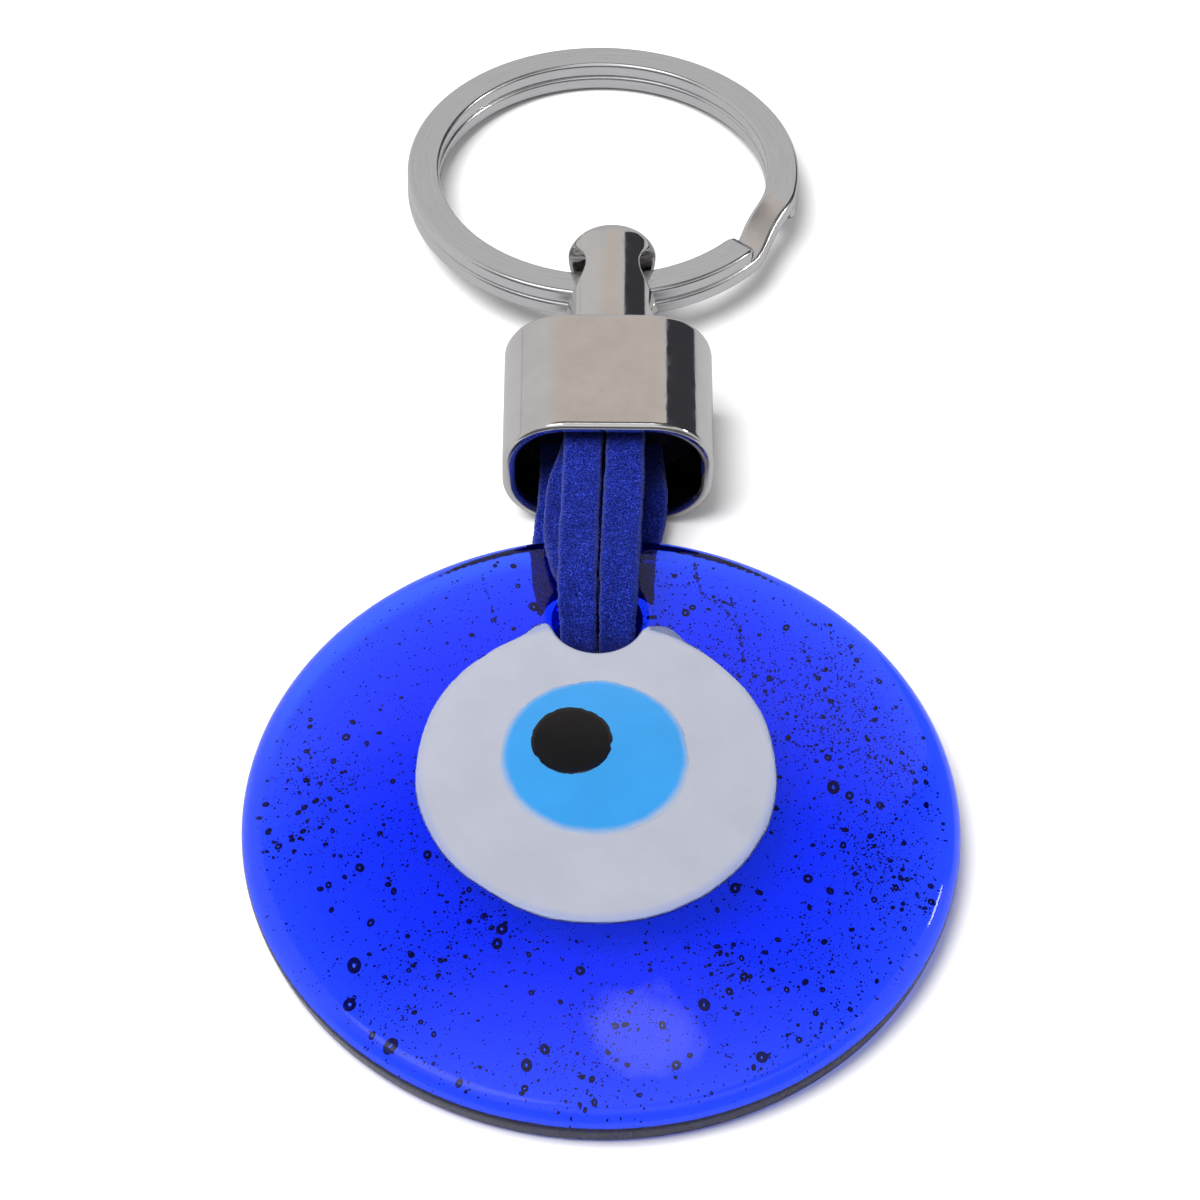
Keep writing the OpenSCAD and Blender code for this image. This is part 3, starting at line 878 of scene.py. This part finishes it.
STRAP_LEN = {}
for name, route, node_name, dark, light, seed in (
        ("strap_left_loop", LEFT, "strap_left", (0.0030, 0.0085, 0.14), (0.014, 0.032, 0.36), 61),
        ("strap_right_loop", RIGHT, "strap_right", (0.0028, 0.0080, 0.135), (0.013, 0.031, 0.35), 71),
        # the under loop's colours are about a fifth darker than the other two: painted shade for the loop that lies
        # beneath them
        ("strap_under_loop", UNDER, "strap_under", (0.0025, 0.0070, 0.11), (0.012, 0.027, 0.30), 81)):
    ob, length = strap(name, route, "suede", seed)
    STRAP_LEN[name] = length
    ob.data.materials.append(suede("suede_" + name, dark, light))
    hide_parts(node_name)
    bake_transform(ob)
print("strap lengths mm", STRAP_LEN)

# ---------------------------------------------------------------- glue
plug = next(o for o in scene.objects if o.name == "glue_plug")
plug.data.materials.clear()
plug.data.materials.append(glue())

# ---------------------------------------------------------------- floor, light, camera
def plane(name, size, loc, rot=(0, 0, 0)):
    s = size if isinstance(size, tuple) else (size, size)
    me = bpy.data.meshes.new(name)
    x, y = s[0] / 2, s[1] / 2
    me.from_pydata([(-x, -y, 0), (x, -y, 0), (x, y, 0), (-x, y, 0)], [], [(0, 1, 2, 3)])
    ob = bpy.data.objects.new(name, me)
    ob.location = loc
    ob.rotation_euler = rot
    scene.collection.objects.link(ob)
    return ob


floor = plane("floor", 6.0, (0, 0, 0))
m, nt, out = new_material("floor")
p = node(nt, "ShaderNodeBsdfPrincipled")
p.inputs["Base Color"].default_value = (0.90, 0.90, 0.905, 1)
p.inputs["Roughness"].default_value = 0.7
p.inputs["Specular IOR Level"].default_value = 0.1
# painted light on the floor: glossy rays see it darker (0.40 instead of 0.90), a painted shade in the metal's
# reflections, and rays through the glass see it glow with emission 0.72, a painted glow that brightens the blue glass
lp = nt.nodes.new("ShaderNodeLightPath")
painted_glow_rays = lp.outputs["Is Transmission Ray"]
painted_dim_reflection = math_node(nt, "MULTIPLY", lp.outputs["Is Glossy Ray"], math_node(nt, "SUBTRACT", 1.0, painted_glow_rays))
nt.links.new(mix_color(nt, painted_dim_reflection, (0.90, 0.90, 0.905), (0.40, 0.40, 0.405)), p.inputs["Base Color"])
p.inputs["Emission Color"].default_value = (1, 1, 1, 1)
nt.links.new(math_node(nt, "MULTIPLY", painted_glow_rays, 0.72), p.inputs["Emission Strength"])
nt.links.new(p.outputs[0], out.inputs["Surface"])
floor.data.materials.append(m)

world = bpy.data.worlds.new("studio")
scene.world = world
world.use_nodes = True
nt = world.node_tree
nt.nodes.clear()
wout = nt.nodes.new("ShaderNodeOutputWorld")
bg = nt.nodes.new("ShaderNodeBackground")
tc = nt.nodes.new("ShaderNodeTexCoord")
sep = nt.nodes.new("ShaderNodeSeparateXYZ")
nt.links.new(tc.outputs["Generated"], sep.inputs[0])
X, Y, Z = sep.outputs
# upper far wall, a little warm overhead
base = ramp(nt, maprange(nt, Z, 0.0, 1.0, 0, 1), [
    (0.0, (0.52, 0.52, 0.53)), (0.5, (0.57, 0.57, 0.575)), (0.66, (0.60, 0.60, 0.60)), (0.71, (0.64, 0.58, 0.535)), (0.775, (0.63, 0.565, 0.52)),
    (0.81, (0.34, 0.31, 0.30)), (0.85, (0.12, 0.12, 0.12)), (0.93, (0.12, 0.12, 0.13)), (0.955, (0.45, 0.45, 0.45)), (0.975, (0.75, 0.75, 0.75)), (1.0, (0.85, 0.85, 0.85))])
blob_dir = node(nt, "ShaderNodeVectorMath", operation="DOT_PRODUCT")
nt.links.new(tc.outputs["Generated"], blob_dir.inputs[0])
blob_dir.inputs[1].default_value = Vector((0.05, 0.243, 0.969)).normalized()
blob = maprange(nt, blob_dir.outputs["Value"], 0.9975, 0.9996, 0, 1, True)
base = mix_color(nt, blob, base, (2.4, 2.4, 2.5))
soft_dir = node(nt, "ShaderNodeVectorMath", operation="DOT_PRODUCT")
nt.links.new(tc.outputs["Generated"], soft_dir.inputs[0])
soft_dir.inputs[1].default_value = Vector((-0.31, -0.125, 0.94)).normalized()
softbox = maprange(nt, soft_dir.outputs["Value"], 0.955, 0.985, 0, 1, True)
left = maprange(nt, X, -0.30, -0.45, 0, 1, True)
c1 = mix_color(nt, left, base, (0.63, 0.62, 0.615))
# dark stand on the right, from azimuth 32 to 62 degrees
az = math_node(nt, "ARCTAN2", X, Y)
d1 = maprange(nt, az, 0.50, 0.53, 0, 1)
d2 = maprange(nt, az, 1.2, 1.3, 1, 0)
d3 = maprange(nt, Z, 0.80, 0.85, 1, 0)
dark = math_node(nt, "MULTIPLY", math_node(nt, "MULTIPLY", d1, d2), d3)
c2 = mix_color(nt, dark, c1, (0.045, 0.046, 0.056))
# bright soft panel behind the camera
back = maprange(nt, Y, -0.2, -0.5, 0, 1, True)
c3 = mix_color(nt, back, c2, ramp(nt, maprange(nt, Z, 0, 1, 0, 1), [(0.0, (0.10, 0.10, 0.11)), (0.55, (0.14, 0.14, 0.15)), (0.8, (0.95, 0.95, 0.97))]))
c3 = mix_color(nt, softbox, c3, (2.2, 2.2, 2.25))
nt.links.new(c3, bg.inputs["Color"])
bg.inputs["Strength"].default_value = 1.0
nt.links.new(bg.outputs[0], wout.inputs["Surface"])


def area(name, loc, target, size, power, color=(1, 1, 1)):
    li = bpy.data.lights.new(name, "AREA")
    li.shape = "DISK"
    li.size = size
    li.energy = power
    li.color = color
    ob = bpy.data.objects.new(name, li)
    ob.location = loc
    d = Vector(target) - Vector(loc)
    ob.rotation_euler = d.to_track_quat("-Z", "Y").to_euler()
    scene.collection.objects.link(ob)
    return ob


key = area("key", (-0.25, -0.10, 0.75), (0, 0, 0), 0.55, 7.5)
key.visible_glossy = False
area("window", (0.43, 0.087, 0.276), (0.0215, -0.0105 + Y0 * 0.001, 0.0035), 0.08, 0.22)

F_PX, ELEV, YAW, ROLL = 3746.1, math.radians(52.213), math.radians(0.574), math.radians(0.904)
CAM_C = Vector((-1.81, -147.63 + Y0, 218.37)) * 0.001
fwd = Vector((math.sin(YAW) * math.cos(ELEV), math.cos(YAW) * math.cos(ELEV), -math.sin(ELEV)))
right = fwd.cross(Vector((0, 0, 1))).normalized()
upv = right.cross(fwd)
r2 = right * math.cos(ROLL) + upv * math.sin(ROLL)
u2 = -right * math.sin(ROLL) + upv * math.cos(ROLL)
cam_data = bpy.data.cameras.new("camera")
cam_data.sensor_width = 36
cam_data.lens = F_PX * 36 / 1200
cam_data.clip_start = 0.01
cam_data.clip_end = 20
camera = bpy.data.objects.new("camera", cam_data)
mw = Matrix((r2, u2, -fwd)).transposed().to_4x4()
mw.translation = CAM_C
camera.matrix_world = mw
scene.collection.objects.link(camera)
scene.camera = camera

scene.view_settings.view_transform = "Standard"
scene.view_settings.look = "None"
scene.cycles.max_bounces = 24
scene.cycles.transmission_bounces = 20
scene.cycles.glossy_bounces = 8
scene.cycles.diffuse_bounces = 4
